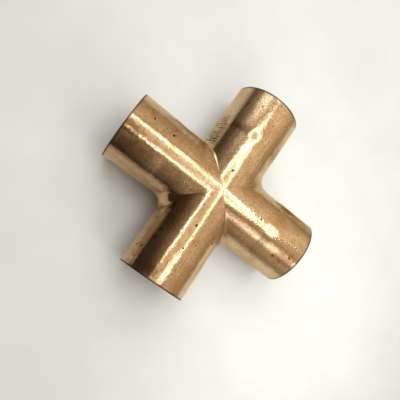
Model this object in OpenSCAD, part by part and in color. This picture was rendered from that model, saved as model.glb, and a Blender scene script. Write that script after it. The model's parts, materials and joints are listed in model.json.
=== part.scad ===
// Equal four-way cross for capillary-soldered copper tube.
// Four identical tube arms are mitred to a point, meet on the diagonal planes and are joined by a
// brazed fillet in each crotch. Each arm ends in a sized socket with a tube stop at its foot.
// The origin is where the two bore axes cross, X and Y run along the arms and Z is up.

/* [Sockets] */
// Outside diameter of the tube that the sockets take
tube_od = 28; // [15:1:54]
// Capillary gap between the tube and the socket, measured on the radius
capillary_gap = 0.05; // [0.02:0.01:0.15]
// Depth of a socket from its mouth to the tube stop
socket_depth = 18.4; // [10:0.2:34]
// Wall thickness of a socket
socket_wall = 1.1; // [0.8:0.05:2]
// Chamfer on the outside edge of a socket's mouth
rim_chamfer = 0.25; // [0.1:0.05:0.4]
// Lead-in chamfer on the inside edge of a socket's mouth
lead_in = 0.35; // [0.1:0.05:0.4]

/* [Body] */
// Wall thickness of the arm between the crotch and the tube stop
body_wall = 1.45; // [1:0.05:2.5]
// Height of the tube stop, from the socket's bore in to the arm's bore
stop_height = 0.6; // [0.4:0.05:1]
// Length of the slope on the tube stop
stop_slope = 0.8; // [0.3:0.1:1.5]
// Length of arm from the corner of the crotch to the tube stop
neck_length = 11.9; // [10:0.1:25]
// Length over which the outside swells from the arm to the socket
swell_length = 2; // [1:0.1:3]

/* [Brazed seams] */
// Radius of the fillet at the middle of the crotch
fillet_mid_r = 6.3; // [2:0.1:7]
// Radius of the fillet where it ends, near the crown of the cross
fillet_crown_r = 0.9; // [0.5:0.1:1.5]
// How quickly the fillet thins out towards the crown
fillet_taper = 5; // [3:0.5:9]
// Angle above and below the middle of the crotch at which the fillet ends
fillet_reach = 62; // [50:1:66]
// Angle between the fillet's skin and the arm's surface along the fillet's edge
fillet_contact = 10; // [6:1:12]

/* [Hidden] */
socket_r = tube_od / 2 + capillary_gap;
socket_outer_r = socket_r + socket_wall;
bore_r = socket_r - stop_height;
body_r = bore_r + body_wall;
centre_to_stop = body_r + neck_length;
centre_to_mouth = centre_to_stop + socket_depth;
// Where the wall starts to step out to the socket, inside at the tube stop and outside at the swell.
step_start = centre_to_stop - stop_slope;

quarter_turn = 90;
round_fn = 360;
fillet_stations = 32;
fillet_segments = 10;
arm_colour = "#b9794a";
seam_colour = "#c08a5c";

// Half section of an arm's outside: x is the radius and y runs along the arm from the centre.
function outside_section() = [
    [body_r, 0],
    [body_r, step_start],
    [socket_outer_r, step_start + swell_length],
    [socket_outer_r, centre_to_mouth - rim_chamfer],
    [socket_outer_r - rim_chamfer, centre_to_mouth]
];

// Half section of an arm's bore, listed from the mouth back to the centre.
function bore_section() = [
    [socket_r + lead_in, centre_to_mouth],
    [socket_r, centre_to_mouth - lead_in],
    [socket_r, centre_to_stop],
    [bore_r, step_start],
    [bore_r, 0]
];

// Turns a half section about an arm's axis and lays that axis along +X.
module turned_along_x(section) {
    rotate([quarter_turn, 0, quarter_turn])
        rotate_extrude($fn = round_fn)
            polygon(section);
}

// Everything between the two diagonal planes that an arm's mitre is cut on.
module mitre_wedge() {
    reach = centre_to_mouth + socket_outer_r;
    linear_extrude(height = 4 * socket_outer_r, center = true)
        polygon([[0, 0], [reach, -reach], [reach, reach]]);
}

// One mitred arm with its socket, along +X.
module arm() {
    color(arm_colour)
        intersection() {
            turned_along_x(concat(outside_section(), bore_section()));
            mitre_wedge();
        }
}

// An arm's outside with the bore filled, for cutting what fits against it.
module arm_envelope() {
    turned_along_x(concat(outside_section(), [[0, centre_to_mouth], [0, 0]]));
}

// Fillet radius at an angle above or below the middle of the crotch.
function fillet_radius(angle) =
    fillet_crown_r + (fillet_mid_r - fillet_crown_r) * pow(cos(angle), fillet_taper);

// Centre of the ball that rolls along the crotch between the arms on +X and +Y.
function ball_centre(angle) =
    let (reach = body_r + fillet_radius(angle) * cos(fillet_contact))
    [reach * cos(angle), reach * cos(angle), reach * sin(angle)];

// Unit direction from the ball's centre to the fillet's skin; share runs from the X arm to the Y arm.
function skin_direction(angle, share) =
    let (
        to_x_arm = [0, -cos(angle), -sin(angle)],
        to_y_arm = [-cos(angle), 0, -sin(angle)],
        spread = acos(to_x_arm * to_y_arm)
    )
    (to_x_arm * sin((1 - share) * spread) + to_y_arm * sin(share * spread)) / sin(spread);

// One section of the fillet: its skin from arm to arm, then a point inside the joint behind it.
function fillet_section(angle) =
    let (
        root_r = body_r - body_wall / 2,
        root = root_r * [cos(angle), cos(angle), sin(angle)]
    )
    concat(
        [for (i = [0 : fillet_segments])
            ball_centre(angle) + fillet_radius(angle) * skin_direction(angle, i / fillet_segments)],
        [root]
    );

// The fillet as one swept solid, with its root buried in the two arms.
module fillet_sweep() {
    ring = fillet_segments + 2;
    angles = [for (i = [0 : fillet_stations]) fillet_reach * (2 * i / fillet_stations - 1)];
    points = [for (a = angles) each fillet_section(a)];
    sides = [
        for (i = [0 : fillet_stations - 1], j = [0 : ring - 1])
            let (
                low = i * ring + j,
                low_next = i * ring + (j + 1) % ring
            )
            each [[low, low_next, low + ring], [low_next, low_next + ring, low + ring]]
    ];
    last = fillet_stations * ring;
    root = ring - 1;
    caps = [
        for (j = [0 : fillet_segments - 1])
            each [[root, j + 1, j], [last + root, last + j, last + j + 1]]
    ];
    polyhedron(points = points, faces = concat(sides, caps), convexity = 6);
}

// Brazed fillet in the crotch between the arms on +X and +Y.
module seam() {
    color(seam_colour)
        difference() {
            fillet_sweep();
            arm_envelope();
            rotate([0, 0, quarter_turn]) arm_envelope();
        }
}

// Turns a piece from the +X side by a number of quarter turns.
module quarter(turns) {
    rotate([0, 0, turns * quarter_turn]) children();
}

quarter(0) arm();  // right_arm
quarter(1) arm();  // rear_arm
quarter(2) arm();  // left_arm
quarter(3) arm();  // front_arm
quarter(0) seam();  // rear_right_seam
quarter(1) seam();  // rear_left_seam
quarter(2) seam();  // front_left_seam
quarter(3) seam();  // front_right_seam
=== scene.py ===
"""Bare copper cross fitting: its looks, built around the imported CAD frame."""

import json
import math

import bmesh
import bpy
from mathutils import Euler, Matrix, Vector, noise


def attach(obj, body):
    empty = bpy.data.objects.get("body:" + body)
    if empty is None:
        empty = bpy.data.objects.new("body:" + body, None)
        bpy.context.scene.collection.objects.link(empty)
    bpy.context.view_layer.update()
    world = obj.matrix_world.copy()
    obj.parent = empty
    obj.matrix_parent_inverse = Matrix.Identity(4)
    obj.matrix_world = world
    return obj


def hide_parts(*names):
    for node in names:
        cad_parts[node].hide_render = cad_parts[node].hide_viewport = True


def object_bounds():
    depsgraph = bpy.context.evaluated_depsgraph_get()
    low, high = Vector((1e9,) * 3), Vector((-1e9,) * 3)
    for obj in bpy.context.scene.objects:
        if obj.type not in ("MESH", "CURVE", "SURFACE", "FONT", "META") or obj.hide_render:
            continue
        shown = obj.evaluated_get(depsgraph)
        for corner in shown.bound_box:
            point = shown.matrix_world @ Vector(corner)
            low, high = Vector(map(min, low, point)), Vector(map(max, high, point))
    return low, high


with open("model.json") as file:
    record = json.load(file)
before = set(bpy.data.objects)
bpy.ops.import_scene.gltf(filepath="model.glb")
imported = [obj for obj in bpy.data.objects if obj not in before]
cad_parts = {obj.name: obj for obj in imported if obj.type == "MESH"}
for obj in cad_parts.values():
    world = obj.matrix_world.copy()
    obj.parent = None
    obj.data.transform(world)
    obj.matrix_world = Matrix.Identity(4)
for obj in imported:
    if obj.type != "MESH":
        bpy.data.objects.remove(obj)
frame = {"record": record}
CAD_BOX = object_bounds()

MM = 0.001
QUARTER_TURN = math.pi / 2
ARMS = ("right_arm", "rear_arm", "left_arm", "front_arm")

# Sizes of an arm, which is modelled along +X and then turned into place.
SOCKET = frame["record"]["mounts"][0]
MOUTH_X = CAD_BOX[1].x
SOCKET_OUTER_R = CAD_BOX[1].z
SOCKET_R = SOCKET["dims"]["r_mm"] * MM
STOP_X = SOCKET["pos_m"][0] - SOCKET["dims"]["length_mm"] * MM / 2
STOP_HEIGHT = 0.6 * MM
STOP_SLOPE = 0.8 * MM
BODY_WALL = 1.45 * MM
BORE_R = SOCKET_R - STOP_HEIGHT
BODY_R = BORE_R + BODY_WALL
STEP_X = STOP_X - STOP_SLOPE
LEAD_IN = 0.35 * MM

# The edges at the mouth and the tube stop are rounded where they turn by more than a corner's angle.
RIM_ROUND = 0.14 * MM
RIM_SEGMENTS = 3
CORNER = math.radians(20)

# How finely the skin is cut along and round an arm, how near points count as one, how far inside the
# body's radius a point still counts as skin, and the angle past which an edge is shaded sharp.
SKIN_SPACING = 0.42 * MM
AROUND_STEPS = 240
SAME_PLACE = 0.001 * MM
SKIN_MARGIN = 0.1 * MM
SHARP_EDGE = math.radians(40)

# Where the outside of each arm starts to swell to its socket, and over what length it does.
SWELL_FROM = 23.4 * MM
SWELL_LENGTH = {"right_arm": 5 * MM, "rear_arm": 7 * MM, "left_arm": 11 * MM, "front_arm": 7 * MM}

# The braze fillet in each crotch: its radius at the middle and near the crown in mm, how fast it thins,
# and how dark the painted shade line along its crease edge is.
SEAMS = {
    "rear_right_seam": (0.8, 0.5, 3, 0.0),
    "rear_left_seam": (5.6, 0.6, 9, 0.0),
    "front_left_seam": (4.8, 0.8, 6, 1.0),
    "front_right_seam": (6.3, 0.35, 1.5, 0.0),
}
# Where a fillet is fuller: angle above the middle of the crotch and spread in degrees, and extra radius
# in mm.
SEAM_LUMPS = {
    "rear_right_seam": (51, 15, 1.7),
    "rear_left_seam": (32, 12, 2.4),
    "front_left_seam": (48, 18, 0.7),
}
# How far above and below the middle of the crotch a fillet reaches, how finely it is cut, how deep its
# root lies in the joint, how near its points count as one, and the share of its skin that a line of painted
# shade takes.
SEAM_REACH = math.radians(76)
SEAM_STATIONS = 120
SEAM_SEGMENTS = 24
SEAM_ROOT_DEPTH = 0.5 * MM
SEAM_SAME_PLACE = 0.0001 * MM
SEAM_SHADE_LINE = 0.12

# Shallow waviness that forming leaves in the skin: its wave length and depth. Each arm takes it from
# another place, and the skin stays true beside the mitre and the mouth.
WAVES = ((9 * MM, 0.03 * MM), (3.5 * MM, 0.014 * MM))
WAVE_SHIFT = 310 * MM
TRUE_AT_MITRE = 2 * MM
TRUE_AT_MOUTH = 1 * MM
# How far apart the patterns of two arms, or of two fillets, are taken from the material.
PATTERN_SHIFT = 100 * MM

# Ripples on the right arm beside the rear crotch, where the bend gathered the skin.
RIPPLED_ARM = "right_arm"
RIPPLE_PITCH = 1.15 * MM
RIPPLE_DEPTH = 0.18 * MM
RIPPLE_FROM = 14 * MM
RIPPLE_TO = 31 * MM
RIPPLE_FADE_IN = 2 * MM
RIPPLE_FADE_OUT = 4 * MM
RIPPLE_ROUND = math.radians(78)
RIPPLE_SPREAD = math.radians(28)
RIPPLE_SOFT_SIDES = 0.4
# Their pitch is uneven by a share of itself over a short way, and the painted shade in their troughs lies in
# patches.
RIPPLE_UNEVEN = 0.2
RIPPLE_UNEVEN_OVER = 3 * MM
RIPPLE_PATCH = 1.5 * MM
RIPPLE_PATCH_RANGE = (-0.6, 0.2)

# A shallow flat on the left arm's socket, from a steep side round to a gentle one.
FLAT_ARM = "left_arm"
FLAT_DEPTH = 0.2 * MM
FLAT_FROM = 25 * MM
FLAT_FADE = 8 * MM
FLAT_SIDES = [math.radians(a) for a in (-13, 1, 50)]

# Pits in the skin of each arm: distance from the centre in mm, angle round from the crown in degrees
# and width in mm.
PITS = {
    "right_arm": ((8.6, 4, 0.9), (17.4, -9, 0.5), (20.7, -35, 0.6), (38.2, 22, 0.6), (43.3, -3, 0.6),
                  (34.3, -10, 0.7), (21.5, 59, 0.5)),
    "rear_arm": ((36.9, -22, 0.9), (27.5, -20, 1.1), (10.4, -9, 0.5), (31.1, -22, 0.5)),
    "left_arm": ((17.9, -2, 1.0), (10.5, -19, 0.7), (9.3, -10, 0.6), (36.4, -69, 0.7), (36, -56, 0.8),
                 (28.1, 1, 0.7), (30.9, -4, 0.5), (24.4, 15, 0.5)),
    "front_arm": ((20.6, 1, 0.7), (34.3, -34, 0.6), (40.8, -21, 0.7), (40.6, -2, 0.6), (38, 19, 0.5)),
}
# A pit's depth is a share of its width, uneven by another share over its grain. It reaches a little past
# its radius and is dark to near its edge. The skin round it is cut more finely first.
PIT_DEPTH = 0.16
PIT_UNEVEN = 0.35
PIT_GRAIN = 0.3 * MM
PIT_REACH = 1.3
PIT_DARK_EDGE = 0.5
PIT_CUTS = 3

# Stains on each arm: distance from the centre in mm, angle round from the crown in degrees, length along
# and width round in mm, and strength. A brown one is partly tarnish and partly painted shade on the flanks
# and at the mouths; a red one is a film of copper oxide.
BROWN_STAINS_AND_SHADE = {
    "right_arm": ((20, 40, 14, 8, 0.3), (27, -56, 9, 8, 0.4), (19, 60, 12, 9, 0.4)),
    "rear_arm": ((38, 42, 12, 12, 0.3), (17, 45, 10, 10, 0.25), (28, 61, 30, 8, 0.4),
                 (22, -56, 13, 12, 0.6), (31, -42, 9, 6, 0.4), (42, 12, 11, 6, 0.9),
                 (27.5, -52, 6, 14, 0.5)),
    "left_arm": ((27, -56, 36, 7, 0.95), (42, -18, 7, 5, 0.7), (43.8, 3, 4, 4, 0.6)),
    "front_arm": ((36, 50, 22, 7, 0.5), (31, 52, 12, 7, 0.9), (39.5, -29, 13, 5, 0.8)),
}
RED_STAINS = {
    "right_arm": ((29, 20, 5, 4, 0.3),),
    "rear_arm": ((9, 26, 5, 4, 0.3), (33, 14, 8, 5, 0.3)),
    "left_arm": ((41, -28, 6, 9, 0.6), (16, -40, 8, 6, 0.3)),
    "front_arm": ((41.3, -21, 6, 4, 0.6), (19, -14, 8, 3, 0.5), (30, 14, 7, 6, 0.35)),
}
# Where brazing left the skin dull, beside a crotch or along a crown, given as the stains are.
DULL_PATCHES = {
    "rear_arm": ((11, -52, 10, 14, 1), (11, 3, 22, 8, 0.12)),
    "left_arm": ((13, 56, 12, 14, 1),),
}
# Each stain, patch of painted shade and dull patch reaches a little past its half size, fades over a share
# of it and has a ragged edge: the raggedness is given by its grain and its share.
PATCH_REACH = 1.2
PATCH_FADE = 0.7
PATCH_RAGGED = ((1.6 * MM, 0.5), (0.6 * MM, 0.3))

# The dark edge of a sawn mouth, partly oxide and partly painted shade at the lip: how far from the mouth it
# starts and where it is full, and how wide it is on the mouth's face, which is less dark.
MOUTH_DARK_FROM = 0.95 * MM
MOUTH_DARK_FULL = 0.2 * MM
MOUTH_EDGE = 1.2 * RIM_ROUND
MOUTH_FACE_DARK = 0.35

# The camera that the photograph was taken with.
CAMERA_AT = Vector((-42.94, 36.62, 163.42)) * MM
CAMERA_TURN = [math.radians(a) for a in (-0.35, -16.99, -54.44)]
IMAGE_PX = 400
FOCAL_PX = 400
CENTRE_PX = (200, 226.3)
SENSOR_MM = 36

# The floor's half width in metres, and the lamps over it: lean towards +X and +Y in degrees, distance and
# size in metres, and watts.
FLOOR_HALF = 3
TABLE_LAMPS = {
    "overhead": (19, -3, 0.2, 0.3, 0.33),
    "near_side": (-20, -42, 0.16, 0.1, 0.09),
    "right_side": (70, -4, 0.4, 0.2, 0.34),
}


def linear(hex_colour):
    """Linear RGBA of an sRGB hex colour."""
    channels = [int(hex_colour[i:i + 2], 16) / 255 for i in (1, 3, 5)]
    return [c / 12.92 if c <= 0.04045 else ((c + 0.055) / 1.055) ** 2.4 for c in channels] + [1]


def add(tree, kind, inputs=None, out=0, **settings):
    """Adds a node with its settings and gives one of its outputs; an input is a value or another output."""
    made = tree.nodes.new(kind)
    for name, value in settings.items():
        setattr(made, name, value)
    for socket, value in (inputs or {}).items():
        if isinstance(value, bpy.types.NodeSocket):
            tree.links.new(value, made.inputs[socket])
        else:
            made.inputs[socket].default_value = value
    return made.outputs[out] if made.outputs else None


def smooth(edge_low, edge_high, value):
    """Goes from 0 to 1 between two edges, level at both."""
    t = min(max((value - edge_low) / (edge_high - edge_low), 0), 1)
    return t * t * (3 - 2 * t)


def skin_radius(node, x):
    """Radius of an arm's outside at a distance from the centre."""
    return BODY_R + (SOCKET_OUTER_R - BODY_R) * smooth(SWELL_FROM, SWELL_FROM + SWELL_LENGTH[node], x)


def on_skin(v):
    """Whether a point lies on an arm's outside."""
    return v.co.yz.length > BODY_R - SKIN_MARGIN


def turned(v):
    """Angle of a point round an arm, from the crown."""
    return math.atan2(v.co.y, v.co.z)


def sink(v, depth):
    """Moves a point of an arm's skin towards the arm's axis."""
    v.co.yz *= 1 - depth / v.co.yz.length


def mesh_piece(bm, name, turns, material, node):
    """Turns a piece into place, makes it an object and ties it to the frame."""
    bm.normal_update()
    for face in bm.faces:
        face.smooth = True
    for edge in bm.edges:
        edge.smooth = edge.calc_face_angle(math.pi) < SHARP_EDGE
    turn = Matrix.Rotation(turns * QUARTER_TURN, 3, "Z")
    bmesh.ops.rotate(bm, verts=bm.verts, cent=(0, 0, 0), matrix=turn)
    mesh = bpy.data.meshes.new(name)
    bm.to_mesh(mesh)
    bm.free()
    piece = bpy.data.objects.new(name, mesh)
    bpy.context.scene.collection.objects.link(piece)
    mesh.materials.append(material)
    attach(piece, "root")
    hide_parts(node)


def turned_tube(bm, node):
    """Spins an arm's wall about its axis: outside, mouth, socket, tube stop and bore."""
    section = [
        (0, BODY_R),
        (MOUTH_X, SOCKET_OUTER_R),
        (MOUTH_X, SOCKET_R + LEAD_IN),
        (MOUTH_X - LEAD_IN, SOCKET_R),
        (STOP_X, SOCKET_R),
        (STEP_X, BORE_R),
        (0, BORE_R),
    ]
    corners = [bm.verts.new((x, 0, r)) for x, r in section]
    for near, far in zip(corners, corners[1:] + corners[:1]):
        bm.edges.new((near, far))
    bmesh.ops.spin(
        bm, geom=bm.verts[:] + bm.edges[:], cent=(0, 0, 0), axis=(1, 0, 0), dvec=(0, 0, 0),
        angle=2 * math.pi, steps=AROUND_STEPS, use_merge=True, use_duplicate=False,
    )
    bmesh.ops.remove_doubles(bm, verts=bm.verts, dist=SAME_PLACE)
    bmesh.ops.recalc_face_normals(bm, faces=bm.faces)
    rounded = []
    for edge in bm.edges:
        near, far = edge.verts
        round_edge = abs(near.co.x - far.co.x) < SAME_PLACE and near.co.x > STEP_X - SAME_PLACE
        if round_edge and edge.calc_face_angle(0) > CORNER:
            rounded.append(edge)
    bmesh.ops.bevel(
        bm, geom=rounded, offset=RIM_ROUND, segments=RIM_SEGMENTS, profile=0.5, affect="EDGES", material=-1,
    )
    outside = [e for e in bm.edges if e.calc_length() > MOUTH_X / 2 and on_skin(e.verts[0])]
    cuts = round(MOUTH_X / SKIN_SPACING)
    made = bmesh.ops.subdivide_edges(bm, edges=outside, cuts=cuts, use_grid_fill=True)["geom_inner"]
    for v in [g for g in made if isinstance(g, bmesh.types.BMVert)]:
        sink(v, v.co.yz.length - skin_radius(node, v.co.x))


def mitre(bm):
    """Draws an arm's inner end in to the two diagonal planes that it is cut on."""
    for v in bm.verts:
        if v.co.x < STEP_X - RIM_ROUND:
            v.co.x = abs(v.co.y) + v.co.x * (STEP_X - abs(v.co.y)) / STEP_X


def ripple(v, place):
    """How deep the ripples are at a point of the skin, and how much painted shade lies in their troughs,
    each from 0 to 1.
    """
    reach = smooth(0, RIPPLE_FADE_IN, v.co.x - RIPPLE_FROM) * smooth(0, RIPPLE_FADE_OUT, RIPPLE_TO - v.co.x)
    reach *= smooth(0, RIPPLE_SOFT_SIDES, 1 - abs(turned(v) - RIPPLE_ROUND) / RIPPLE_SPREAD)
    uneven = RIPPLE_UNEVEN * noise.noise(place / RIPPLE_UNEVEN_OVER)
    deep = reach * (1 + math.cos(2 * math.pi * (v.co.x / RIPPLE_PITCH + uneven))) / 2
    return deep, deep * smooth(*RIPPLE_PATCH_RANGE, noise.noise(place / RIPPLE_PATCH))


def flat(v):
    """How deep the flat is at a point of the skin, from 0 to 1."""
    steep, lowest, gentle = FLAT_SIDES
    across = smooth(steep, lowest, turned(v)) * smooth(-gentle, -lowest, -turned(v))
    return across * smooth(FLAT_FROM, FLAT_FROM + FLAT_FADE, v.co.x)


def dent(bm, node, oxide_and_shade, along, around, width):
    """Sinks one pit in an arm's skin and darkens it."""
    radius = skin_radius(node, along)
    centre = Vector((along, radius * math.sin(around), radius * math.cos(around)))
    near = {v for v in bm.verts if (v.co - centre).length < width + SKIN_SPACING}
    edges = [e for e in bm.edges if e.verts[0] in near and e.verts[1] in near]
    bmesh.ops.subdivide_edges(bm, edges=edges, cuts=PIT_CUTS, use_grid_fill=True)
    for v in bm.verts:
        away = (v.co - centre).length / (width / 2)
        if away < PIT_REACH:
            uneven = 1 + PIT_UNEVEN * noise.noise(v.co / PIT_GRAIN)
            sink(v, PIT_DEPTH * width * uneven * smooth(0, 1, PIT_REACH - away))
            v[oxide_and_shade] = max(v[oxide_and_shade], smooth(0, PIT_DARK_EDGE, PIT_REACH - away))


def work_skin(bm, node, turns, oxide_and_shade):
    """Gives an arm's outside its waviness, ripples, flat and pits."""
    for v in [v for v in bm.verts if on_skin(v)]:
        place = Vector(v.co)
        place.x += turns * WAVE_SHIFT
        depth = sum(deepest * (1 - noise.noise(place / length)) / 2 for length, deepest in WAVES)
        if node == RIPPLED_ARM:
            deep, dark = ripple(v, place)
            depth += RIPPLE_DEPTH * deep
            # Painted shade in the ripples' troughs, in patches.
            v[oxide_and_shade] = max(v[oxide_and_shade], dark)
        if node == FLAT_ARM:
            depth += FLAT_DEPTH * flat(v)
        depth *= smooth(0, TRUE_AT_MITRE, v.co.x - abs(v.co.y)) * smooth(0, TRUE_AT_MOUTH, MOUTH_X - v.co.x)
        sink(v, depth)
    for along, around, width in PITS[node]:
        dent(bm, node, oxide_and_shade, along * MM, math.radians(around), width * MM)


def patch_share(v, patch_list):
    """How strongly a point of an arm's skin lies in the listed stains, patches of painted shade and dull
    patches.
    """
    ragged = sum(share * noise.noise(v.co / grain) for grain, share in PATCH_RAGGED)
    most = 0.0
    for along, around, length, width, strength in patch_list:
        off_along = (v.co.x / MM - along) / (length / 2)
        off_round = (turned(v) - math.radians(around)) * SOCKET_OUTER_R / MM / (width / 2)
        within = PATCH_REACH - math.hypot(off_along, off_round) + ragged
        most = max(most, strength * smooth(0, PATCH_FADE, within))
    return most


def copper_arm(node, turns, material):
    """One mitred tube arm with its socket."""
    bm = bmesh.new()
    oxide_and_shade, bore, tarnish_and_shade, red, dull = [
        bm.verts.layers.float.new(layer) for layer in ("oxide_and_shade", "bore", "tarnish_and_shade", "red", "dull")
    ]
    place = bm.verts.layers.float_vector.new("arm_place")
    turned_tube(bm, node)
    mitre(bm)
    for v in bm.verts:
        radius = v.co.yz.length
        # Each mouth's edge is darkened: partly oxide, partly painted shade at the lip, less on the mouth's
        # face.
        mouth_darkness = 1.0 if radius > SOCKET_OUTER_R - MOUTH_EDGE else MOUTH_FACE_DARK
        v[oxide_and_shade] = mouth_darkness * smooth(MOUTH_X - MOUTH_DARK_FROM, MOUTH_X - MOUTH_DARK_FULL, v.co.x)
        v[bore] = 1.0 if radius < SOCKET_R + LEAD_IN / 2 else 0.0
        if on_skin(v):
            # The brown stains are partly painted shade that dims reflections.
            v[tarnish_and_shade] = patch_share(v, BROWN_STAINS_AND_SHADE[node])
            v[red] = patch_share(v, RED_STAINS[node])
            v[dull] = patch_share(v, DULL_PATCHES.get(node, ()))
    work_skin(bm, node, turns, oxide_and_shade)
    for v in bm.verts:
        v[place] = v.co + Vector((0, 0, turns * PATTERN_SHIFT))
    mesh_piece(bm, node + "_tube", turns, material, node)


def seam_point(node, angle, share):
    """Point on the skin of the fillet between the arms on +X and +Y."""
    mid_r, crown_r, taper, _ = SEAMS[node]
    at, spread, extra = SEAM_LUMPS.get(node, (0, 1, 0))
    c, s = math.cos(angle), math.sin(angle)
    lump = extra * math.exp(-((math.degrees(angle) - at) / spread) ** 2)
    radius = (crown_r + (mid_r - crown_r) * c ** taper + lump) * MM
    ball = (BODY_R + radius) * Vector((c, c, s))
    to_x_arm = Vector((0, -c, -s))
    to_y_arm = Vector((-c, 0, -s))
    return ball + radius * to_x_arm.slerp(to_y_arm, share)


def brazed_seam(node, turns, material):
    """The braze fillet in the crotch between two arms."""
    _, _, _, dark = SEAMS[node]
    bm = bmesh.new()
    oxide_and_shade = bm.verts.layers.float.new("oxide_and_shade")
    place = bm.verts.layers.float_vector.new("arm_place")
    angle_of = bm.verts.layers.float.new("angle")
    bmesh.ops.create_grid(bm, x_segments=SEAM_STATIONS, y_segments=SEAM_SEGMENTS, size=1)
    outline = [e for e in bm.edges if e.is_boundary]
    long_sides = [e for e in outline if abs(e.verts[0].co.y - e.verts[1].co.y) < SAME_PLACE]
    for v in bm.verts:
        share = (v.co.y + 1) / 2
        v[angle_of] = v.co.x * SEAM_REACH
        # A line of painted shade along the fillet's edge in the crease.
        v[oxide_and_shade] = dark * smooth(-SEAM_SHADE_LINE, 0, -share)
        v.co = seam_point(node, v[angle_of], share)
    walls = bmesh.ops.extrude_edge_only(bm, edges=long_sides)["geom"]
    for v in [g for g in walls if isinstance(g, bmesh.types.BMVert)]:
        c, s = math.cos(v[angle_of]), math.sin(v[angle_of])
        v.co = (BODY_R - SEAM_ROOT_DEPTH) * Vector((c, c, s))
    bmesh.ops.remove_doubles(bm, verts=bm.verts, dist=SEAM_SAME_PLACE)
    bmesh.ops.holes_fill(bm, edges=[e for e in bm.edges if e.is_boundary], sides=0)
    bmesh.ops.recalc_face_normals(bm, faces=bm.faces)
    for v in bm.verts:
        v[place] = v.co + Vector((0, 0, turns * PATTERN_SHIFT))
    mesh_piece(bm, node + "_braze", turns, material, node)


def worked_copper(name, bright, tarnished):
    """Bare worked copper: a semi-bright metal with orange peel, drawing lines and blotches of tarnish."""
    material = bpy.data.materials.new(name)
    material.use_nodes = True
    tree = material.node_tree
    shader = tree.nodes["Principled BSDF"]
    shader.inputs["Metallic"].default_value = 1
    place = add(tree, "ShaderNodeAttribute", out="Vector", attribute_name="arm_place")
    oxide_and_shade, bore, tarnish_and_shade, red, dull = [
        add(tree, "ShaderNodeAttribute", out="Fac", attribute_name=layer)
        for layer in ("oxide_and_shade", "bore", "tarnish_and_shade", "red", "dull")
    ]

    # Tarnish in blotches of 7 mm, pink flecks of 2 mm, olive streaks 1.4 mm wide and 30 mm long that the
    # drawing left, and a speckle of 0.9 mm, which is coarser than the metal's own grain so that it shows:
    # grain along and across in mm, range, share and colour.
    tone = linear(bright)
    for grain, low, high, most, colour in (
        ((7, 7, 7), 0.42, 0.68, 1, tarnished),
        ((2, 2, 2), 0.5, 0.75, 0.5, "#c39777"),
        ((30, 1.4, 1.4), 0.48, 0.72, 0.45, "#a5865c"),
        ((0.9, 0.9, 0.9), 0.46, 0.64, 0.42, "#9c7c5a"),
    ):
        spread = add(tree, "ShaderNodeMapping", {"Vector": place, "Scale": [1 / (g * MM) for g in grain]})
        fleck = add(tree, "ShaderNodeTexNoise", {"Vector": spread, "Scale": 1, "Detail": 3})
        share = add(tree, "ShaderNodeMapRange", {
            "Value": fleck, "From Min": low, "From Max": high, "To Max": most,
        })
        tone = add(tree, "ShaderNodeMix", {0: share, 6: tone, 7: linear(colour)}, 2, data_type="RGBA")

    # A film of red oxide lies in a few spots, tarnish and painted shade brown and dull others, pits hold a
    # dark oxide, sawn mouths a dark edge that is partly oxide and partly painted shade, the ripples' troughs
    # and one fillet's crease edge painted shade in that dark colour, and the bore is pinker than the
    # outside.
    pinker = add(tree, "ShaderNodeMath", {0: bore, 1: 0.6}, operation="MULTIPLY")
    for share, colour in ((red, "#b37a54"), (tarnish_and_shade, "#8c6b4b"), (oxide_and_shade, "#2e2219"), (pinker, "#b98a68")):
        tone = add(tree, "ShaderNodeMix", {0: share, 6: tone, 7: linear(colour)}, 2, data_type="RGBA")
    tree.links.new(tone, shader.inputs["Base Color"])
    edge = {0: tarnish_and_shade, 6: linear("#fff6e6"), 7: linear("#b89a76")}
    tree.links.new(add(tree, "ShaderNodeMix", edge, 2, data_type="RGBA"), shader.inputs["Specular Tint"])

    # Roughness of the bright skin, and how much rougher the bore, the oxide and painted shade, and the dull
    # patches are.
    rough = add(tree, "ShaderNodeMapRange", {
        "Value": fleck, "From Min": 0.3, "From Max": 0.7, "To Min": 0.1, "To Max": 0.16,
    })
    for share, more in ((bore, 0.16), (oxide_and_shade, 0.25), (dull, 0.55)):
        rough = add(tree, "ShaderNodeMath", {0: share, 1: more, 2: rough}, operation="MULTIPLY_ADD")
    tree.links.new(rough, shader.inputs["Roughness"])

    # Orange peel of 0.55 mm and a finer grit of 0.35 mm, both coarser than real so that they show, and
    # drawing lines 0.3 mm wide and 5 mm long: grain along and across, detail and depth, in mm.
    normal = {}
    for grain, detail, depth in (
        ((0.55, 0.55, 0.55), 0, 0.03),
        ((0.35, 0.35, 0.35), 0, 0.004),
        ((5, 0.3, 0.3), 1, 0.004),
    ):
        spread = add(tree, "ShaderNodeMapping", {"Vector": place, "Scale": [1 / (g * MM) for g in grain]})
        height = add(tree, "ShaderNodeTexNoise", {"Vector": spread, "Scale": 1, "Detail": detail})
        bump = {"Height": height, "Strength": 1, "Distance": depth * MM}
        normal = {"Normal": add(tree, "ShaderNodeBump", bump | normal)}
    tree.links.new(normal["Normal"], shader.inputs["Normal"])
    return material


def pale_table():
    """Matt pale laminate: nearly white, with a faint unevenness of tone in clouds of 25 mm."""
    material = bpy.data.materials.new("pale_laminate")
    material.use_nodes = True
    tree = material.node_tree
    shader = tree.nodes["Principled BSDF"]
    shader.inputs["Roughness"].default_value = 0.6
    place = add(tree, "ShaderNodeTexCoord", out="Object")
    cloud = add(tree, "ShaderNodeTexNoise", {"Vector": place, "Scale": 1 / (25 * MM), "Detail": 5})
    shades = {0: cloud, 6: linear("#f6f7f1"), 7: linear("#e6e7df")}
    tree.links.new(add(tree, "ShaderNodeMix", shades, 2, data_type="RGBA"), shader.inputs["Base Color"])
    return material


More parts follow.
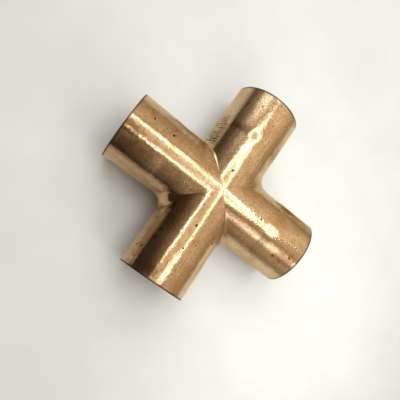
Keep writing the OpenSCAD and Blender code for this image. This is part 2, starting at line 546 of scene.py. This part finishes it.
def stage_floor():
    """Pale floor that the fitting lies on."""
    bm = bmesh.new()
    bmesh.ops.create_grid(bm, x_segments=2, y_segments=2, size=FLOOR_HALF)
    bmesh.ops.translate(bm, verts=bm.verts, vec=(0, 0, CAD_BOX[0].z))
    mesh = bpy.data.meshes.new("floor")
    bm.to_mesh(mesh)
    bm.free()
    floor = bpy.data.objects.new("floor", mesh)
    bpy.context.scene.collection.objects.link(floor)
    mesh.materials.append(pale_table())


def lean(towards_x, towards_y):
    """Direction that leans from straight up by so many degrees towards +X and towards +Y."""
    angle = math.radians(math.hypot(towards_x, towards_y))
    turn = math.atan2(towards_y, towards_x)
    return Vector((math.sin(angle) * math.cos(turn), math.sin(angle) * math.sin(turn), math.cos(angle)))


def glow(tree, way, middle, ring, full, fade, strength):
    """Light from a soft lamp round a direction: a disc, or a ring of that radius, all in degrees."""
    dot = add(tree, "ShaderNodeVectorMath", {0: way, 1: middle}, "Value", operation="DOT_PRODUCT")
    angle = add(tree, "ShaderNodeMath", {0: dot}, operation="ARCCOSINE")
    off = add(tree, "ShaderNodeMath", {0: angle, 1: math.radians(ring)}, operation="SUBTRACT")
    away = add(tree, "ShaderNodeMath", {0: off}, operation="ABSOLUTE")
    return add(tree, "ShaderNodeMapRange", {
        "Value": away, "From Min": math.radians(full), "From Max": math.radians(fade),
        "To Min": strength, "To Max": 0,
    }, interpolation_type="SMOOTHSTEP")


def studio_light():
    """A ring lamp, a window and two lamps in a warm room, whose dark side hides part of the ring."""
    world = bpy.data.worlds.new("studio")
    world.use_nodes = True
    tree = world.node_tree
    tree.nodes.clear()
    way = add(tree, "ShaderNodeTexCoord", out="Generated")

    # How bright the room is and how much of the ring shows, each falling off towards the dark side: the
    # turn of that side in degrees, the cosines between which it falls, and the values it falls between.
    sides = []
    for turn, near, far, most, least in ((127, -0.12, 0.68, 0.6, 0.057), (133, 0.165, 0.2, 1, 0.1)):
        dark_way = Vector((math.cos(math.radians(turn)), math.sin(math.radians(turn)), 0))
        towards = add(tree, "ShaderNodeVectorMath", {0: way, 1: dark_way}, "Value", operation="DOT_PRODUCT")
        sides.append(add(tree, "ShaderNodeMapRange", {
            "Value": towards, "From Min": near, "From Max": far, "To Min": most, "To Max": least,
        }, interpolation_type="SMOOTHSTEP"))
    room, shown = sides

    # The ring lamp with the ceiling inside it, the two lit walls, then two lamps and the window with its
    # bright middle and its haze. The angles are in degrees.
    ring_middle = lean(6, -1.4)
    ring = glow(tree, way, ring_middle, 18, 0.3, 1.9, 10)
    ceiling = glow(tree, way, ring_middle, 0, 16, 20, 0.5)
    lamps = add(tree, "ShaderNodeMath", {0: ring, 1: shown}, operation="MULTIPLY")
    walls = add(tree, "ShaderNodeMath", {0: ceiling, 1: shown}, operation="MULTIPLY")
    for middle, full, fade, strength in ((lean(30, -34), 5, 50, 0.56), (lean(-56, -26), 5, 32, 0.17)):
        lit = glow(tree, way, middle, 0, full, fade, strength)
        walls = add(tree, "ShaderNodeMath", {0: walls, 1: lit}, operation="ADD")
    for middle, full, fade, strength in (
        (lean(26.5, -5.5), 1, 4.5, 2.2),
        (lean(-34.5, -26.5), 1, 16, 2.3),
        (lean(38, 20), 8, 14, 1.1),
        (lean(46, 30), 13, 20, 1.9),
        (lean(48, 31), 10, 36, 0.35),
    ):
        lit = glow(tree, way, middle, 0, full, fade, strength)
        lamps = add(tree, "ShaderNodeMath", {0: lamps, 1: lit}, operation="ADD")
    light = add(tree, "ShaderNodeBackground", {"Color": linear("#ffe4c2"), "Strength": room})
    for strength, colour in ((walls, "#f5f4e8"), (lamps, "#e1f3ff")):
        part = add(tree, "ShaderNodeBackground", {"Color": linear(colour), "Strength": strength})
        light = add(tree, "ShaderNodeAddShader", {0: light, 1: part})

    # The table lamps light what is matt, so that only gets a dim warm glow, and the camera sees a backdrop.
    for ray, colour, strength in (("Is Diffuse Ray", "#ffcc88", 0.09), ("Is Camera Ray", "#acaaa0", 1)):
        seen = add(tree, "ShaderNodeBackground", {"Color": linear(colour), "Strength": strength})
        share = add(tree, "ShaderNodeLightPath", out=ray)
        light = add(tree, "ShaderNodeMixShader", {0: share, 1: light, 2: seen})
    add(tree, "ShaderNodeOutputWorld", {"Surface": light})
    bpy.context.scene.world = world


def table_lamp(name, way, distance, size, watts):
    """Soft lamp that lights the table and doesn't show in the copper."""
    data = bpy.data.lights.new(name, "AREA")
    data.shape = "DISK"
    data.size = size
    data.energy = watts
    lamp = bpy.data.objects.new(name, data)
    lamp.location = way * distance
    lamp.rotation_euler = way.to_track_quat("Z", "Y").to_euler()
    lamp.visible_glossy = False
    lamp.visible_camera = False
    bpy.context.scene.collection.objects.link(lamp)


def photo_camera():
    """Camera at the photograph's view."""
    data = bpy.data.cameras.new("camera")
    data.sensor_width = SENSOR_MM
    data.lens = FOCAL_PX / IMAGE_PX * SENSOR_MM
    data.shift_x = (IMAGE_PX / 2 - CENTRE_PX[0]) / IMAGE_PX
    data.shift_y = (CENTRE_PX[1] - IMAGE_PX / 2) / IMAGE_PX
    data.clip_start = 10 * MM
    camera = bpy.data.objects.new("camera", data)
    camera.location = CAMERA_AT
    camera.rotation_euler = Euler(CAMERA_TURN, "XYZ")
    bpy.context.scene.collection.objects.link(camera)
    bpy.context.scene.camera = camera


photo_camera()
studio_light()
for name, (towards_x, towards_y, distance, size, watts) in TABLE_LAMPS.items():
    table_lamp(name, lean(towards_x, towards_y), distance, size, watts)
stage_floor()
copper = worked_copper("drawn_copper", "#d3b793", "#c2a077")
braze = worked_copper("dressed_braze", "#caaa82", "#b4926c")
for turns, node in enumerate(ARMS):
    copper_arm(node, turns, copper)
for turns, node in enumerate(SEAMS):
    brazed_seam(node, turns, braze)
bpy.context.scene.view_settings.view_transform = "Standard"
